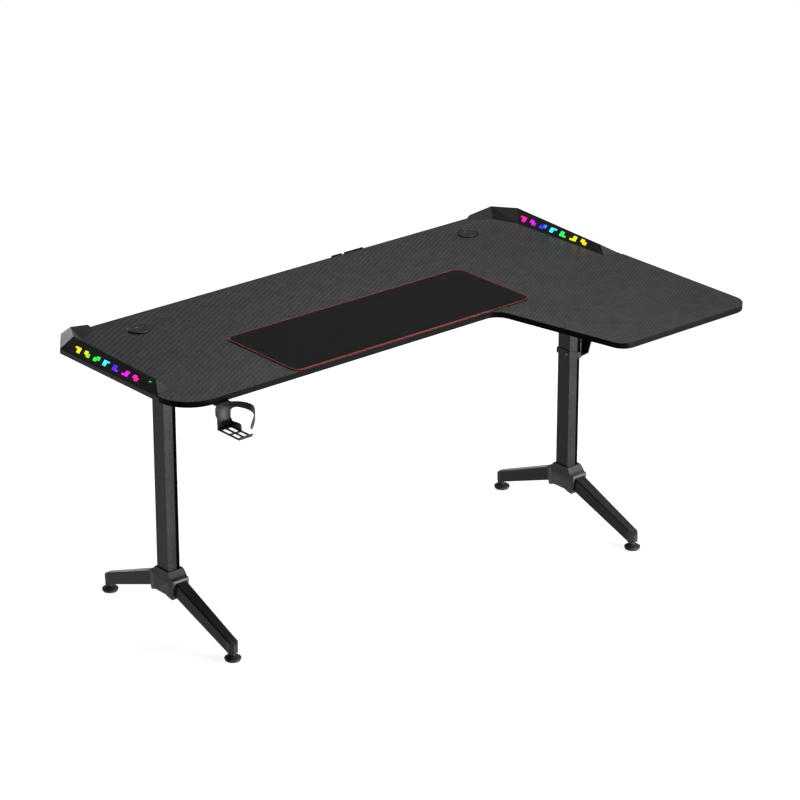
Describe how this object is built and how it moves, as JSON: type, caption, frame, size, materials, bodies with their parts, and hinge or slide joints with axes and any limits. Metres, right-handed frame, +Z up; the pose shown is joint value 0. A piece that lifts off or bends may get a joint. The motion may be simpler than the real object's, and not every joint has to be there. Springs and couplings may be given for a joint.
{
  "type": "corner desk",
  "caption": "L-shaped gaming desk with a black board, light modules on the rear corners, a desk mat, a cup holder, a headphone hook and splayed steel legs.",
  "frame": {"origin": "on the floor, under the centre of the desk's overall footprint", "axes": "+X to the sitter's right along the back edge, +Y to the back, +Z up; the wing comes forward on the right"},
  "size_m": [1.6, 1.0026, 0.787],
  "materials": {
    "board_film": "carbon-look film on particle board, satin",
    "mat_cloth": "smooth black cloth on rubber, dark red stitched edge",
    "grey_plastic": "satin",
    "black_plastic": "fine texture",
    "light_strip": "frosted, lit from behind in changing colours",
    "green_board": "circuit board",
    "green_key": "lit round key",
    "black_steel": "powder coat, satin",
    "hub_casting": "powder coated casting",
    "foot_rubber": "moulded",
    "zinc": "zinc plated"
  },
  "bodies": {
    "frame": {"desktop": "board_film", "desk_mat": "mat_cloth", "grommet_ring_left": "grey_plastic", "light_housing_left": "black_plastic", "sensor_window_left": "black_plastic", "light_diffuser_outer_left": "light_strip", "light_diffuser_inner_left": "light_strip", "led_board_left": "green_board", "leg_column_left": "black_steel", "top_bracket_left": "black_steel", "leg_hub_left": "hub_casting", "foot_arm_front_left": "black_steel", "foot_cap_front_left": "black_plastic", "arm_bolt_front_left": "zinc", "column_bolt_front_left": "zinc", "foot_arm_rear_left": "black_steel", "foot_cap_rear_left": "black_plastic", "arm_bolt_rear_left": "zinc", "column_bolt_rear_left": "zinc", "grommet_ring_right": "grey_plastic", "light_housing_right": "black_plastic", "sensor_window_right": "black_plastic", "light_diffuser_outer_right": "light_strip", "light_diffuser_inner_right": "light_strip", "led_board_right": "green_board", "leg_column_right": "black_steel", "top_bracket_right": "black_steel", "leg_hub_right": "hub_casting", "foot_arm_front_right": "black_steel", "foot_cap_front_right": "black_plastic", "arm_bolt_front_right": "zinc", "column_bolt_front_right": "zinc", "foot_arm_rear_right": "black_steel", "foot_cap_rear_right": "black_plastic", "arm_bolt_rear_right": "zinc", "column_bolt_rear_right": "zinc", "cross_beam_front": "black_steel", "cross_beam_rear": "black_steel", "hook_clamp": "black_steel", "cable_tray": "black_steel", "cup_holder": "black_plastic", "headphone_hook": "black_plastic", "control_box_base": "black_plastic", "control_box_lid": "black_plastic", "cup_screw_a": "zinc", "cup_screw_b": "zinc", "clamp_screw": "zinc", "control_inlet": "zinc", "control_board": "green_board"},
    "levelling_foot_front_left": {"levelling_foot_front_left": "foot_rubber"},
    "levelling_foot_rear_left": {"levelling_foot_rear_left": "foot_rubber"},
    "levelling_foot_front_right": {"levelling_foot_front_right": "foot_rubber"},
    "levelling_foot_rear_right": {"levelling_foot_rear_right": "foot_rubber"},
    "grommet_cap_left": {"grommet_cap_left": "grey_plastic"},
    "grommet_cap_right": {"grommet_cap_right": "grey_plastic"},
    "touch_button_left": {"touch_button_left": "green_key"},
    "touch_button_right": {"touch_button_right": "green_key"}
  },
  "joints": [
    {"name": "levelling_foot_front_left_thread", "type": "slide", "parent": "frame", "child": "levelling_foot_front_left", "axis": [0, 0, -1], "range_m": [0, 0.01]},
    {"name": "levelling_foot_rear_left_thread", "type": "slide", "parent": "frame", "child": "levelling_foot_rear_left", "axis": [0, 0, -1], "range_m": [0, 0.01]},
    {"name": "levelling_foot_front_right_thread", "type": "slide", "parent": "frame", "child": "levelling_foot_front_right", "axis": [0, 0, -1], "range_m": [0, 0.01]},
    {"name": "levelling_foot_rear_right_thread", "type": "slide", "parent": "frame", "child": "levelling_foot_rear_right", "axis": [0, 0, -1], "range_m": [0, 0.01]},
    {"name": "grommet_cap_left_turn", "type": "hinge", "parent": "frame", "child": "grommet_cap_left", "pos_m": [-0.569, 0.39775, 0.757], "axis": [0, 0, 1], "continuous": true},
    {"name": "grommet_cap_right_turn", "type": "hinge", "parent": "frame", "child": "grommet_cap_right", "pos_m": [0.578, 0.39775, 0.757], "axis": [0, 0, 1], "continuous": true},
    {"name": "touch_button_left_press", "type": "slide", "parent": "frame", "child": "touch_button_left", "axis": [0.5659, 0, -0.8245], "range_m": [0, 0.001], "stiffness_N_per_m": 400},
    {"name": "touch_button_right_press", "type": "slide", "parent": "frame", "child": "touch_button_right", "axis": [-0.5659, 0, -0.8245], "range_m": [0, 0.001], "stiffness_N_per_m": 400}
  ]
}
